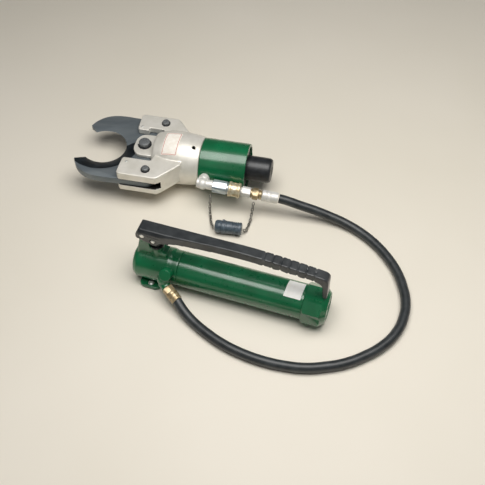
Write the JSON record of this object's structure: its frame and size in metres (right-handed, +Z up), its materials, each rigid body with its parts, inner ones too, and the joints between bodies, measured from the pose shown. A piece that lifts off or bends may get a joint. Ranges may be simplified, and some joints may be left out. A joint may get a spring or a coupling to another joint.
{
  "type": "hydraulic cutting head with hand pump",
  "caption": "Hydraulic cutting head with two pivoting hook blades pulled shut by a ram, joined by a quick coupler and a hose to a single-tube hand pump with a long lever handle.",
  "frame": {"origin": "on the ground under the middle of the rigid pieces, with the hose, the chains and the dust caps left out", "axes": "+Z up; -X to the left, where the jaws open; +Y away from the viewer, with the cutting head at +Y and the pump at -Y"},
  "size_m": [0.5663, 0.5171, 0.124],
  "materials": {
    "silver_paint": "smooth satin silver-cream aluminium paint",
    "green_enamel": "glossy green enamel",
    "black_steel": "satin black coated steel",
    "blade_steel": "ground tool steel, dark at the cutting bevels",
    "bright_steel": "bright turned steel",
    "pin_steel": "dark hardened steel",
    "brass": "turned brass, slightly dull",
    "rubber": "smooth black hose rubber",
    "seal_rubber": "matte black seal",
    "spring_steel": "drawn wire",
    "cream_label": "matt printed film with a thin red border, no text",
    "white_label": "matt white film, blank",
    "black_handle": "satin black painted casting",
    "cap_steel": "blue-grey plated steel"
  },
  "bodies": {
    "base": {"yoke_casting": "silver_paint", "near_pivot_bolt": "pin_steel", "near_bolt_clip": "black_steel", "far_pivot_bolt": "pin_steel", "far_bolt_clip": "black_steel", "near_ear_dowel": "bright_steel", "far_ear_dowel": "bright_steel", "rod_gland": "brass", "cylinder_tube": "green_enamel", "cylinder_end_ring": "black_steel", "spring_cap": "black_steel", "return_spring": "spring_steel", "barrel_label": "cream_label", "port_elbow": "bright_steel", "coupler_body": "bright_steel", "coupler_nipple": "bright_steel", "hose_adapter": "brass", "head_ferrule": "bright_steel", "hose": "rubber", "left_chain": "bright_steel", "right_chain": "bright_steel", "dust_cap": "cap_steel", "dust_plug": "cap_steel", "pump_head": "green_enamel", "foot_bracket": "green_enamel", "near_foot_screw": "bright_steel", "far_foot_screw": "bright_steel", "reservoir_tube": "green_enamel", "reservoir_cap": "green_enamel", "suction_tube": "bright_steel", "suction_strainer": "brass", "plunger_gland": "black_steel", "handle_pin": "bright_steel", "outlet_elbow": "green_enamel", "pump_hose_nut": "brass", "pump_ferrule": "brass", "tube_label": "white_label"},
    "ram": {"ram_clevis": "silver_paint", "ram_rod": "bright_steel", "piston": "bright_steel", "piston_seal": "seal_rubber", "piston_nut": "bright_steel", "centre_pin": "pin_steel", "centre_pin_clip": "black_steel"},
    "far_jaw": {"far_jaw": "blade_steel"},
    "near_jaw": {"near_jaw": "blade_steel"},
    "collar": {"coupler_collar": "brass"},
    "handle": {"handle": "black_handle"},
    "plunger": {"plunger": "bright_steel", "plunger_pin": "bright_steel"},
    "release_valve": {"release_valve": "black_steel"},
    "filler_plug": {"filler_plug": "black_steel"}
  },
  "joints": [
    {"name": "ram_slide", "type": "slide", "parent": "base", "child": "ram", "axis": [0.9799, -0.1994, 0], "range_m": [0, 0.03], "stiffness_N_per_m": 8000, "springref_m": -0.02, "deforming": ["return_spring"]},
    {"name": "far_jaw_pivot", "type": "hinge", "parent": "base", "child": "far_jaw", "pos_m": [-0.06155, 0.18887, 0.047], "axis": [0, 0, 1], "range_deg": [0, 25.2]},
    {"name": "near_jaw_pivot", "type": "hinge", "parent": "base", "child": "near_jaw", "pos_m": [-0.08827, 0.05756, 0.047], "axis": [0, 0, -1], "range_deg": [0, 25.2]},
    {"name": "coupler_collar_slide", "type": "slide", "parent": "base", "child": "collar", "axis": [0.9796, -0.1798, -0.0898], "range_m": [0, 0.006], "stiffness_N_per_m": 1500, "springref_m": -0.004},
    {"name": "handle_pivot", "type": "hinge", "parent": "base", "child": "handle", "pos_m": [-0.0731, -0.10057, 0.109], "axis": [-0.3123, -0.95, 0], "range_deg": [0, 50]},
    {"name": "plunger_slide", "type": "slide", "parent": "base", "child": "plunger", "axis": [0, 0, 1], "range_m": [0, 0.0164]},
    {"name": "release_valve_turn", "type": "hinge", "parent": "base", "child": "release_valve", "pos_m": [-0.05394, -0.06792, 0.035], "axis": [0.3123, 0.95, 0], "range_deg": [0, 180]},
    {"name": "filler_plug_turn", "type": "hinge", "parent": "base", "child": "filler_plug", "pos_m": [0.20049, -0.19053, 0.031], "axis": [0.95, -0.3123, 0], "range_deg": [0, 360]}
  ],
  "couplings": [
    {"joint": "far_jaw_pivot", "follows": "ram_slide", "rad_per_m": 14.603},
    {"joint": "near_jaw_pivot", "follows": "ram_slide", "rad_per_m": 14.603},
    {"joint": "plunger_slide", "follows": "handle_pivot", "m_per_rad": 0.01871}
  ]
}
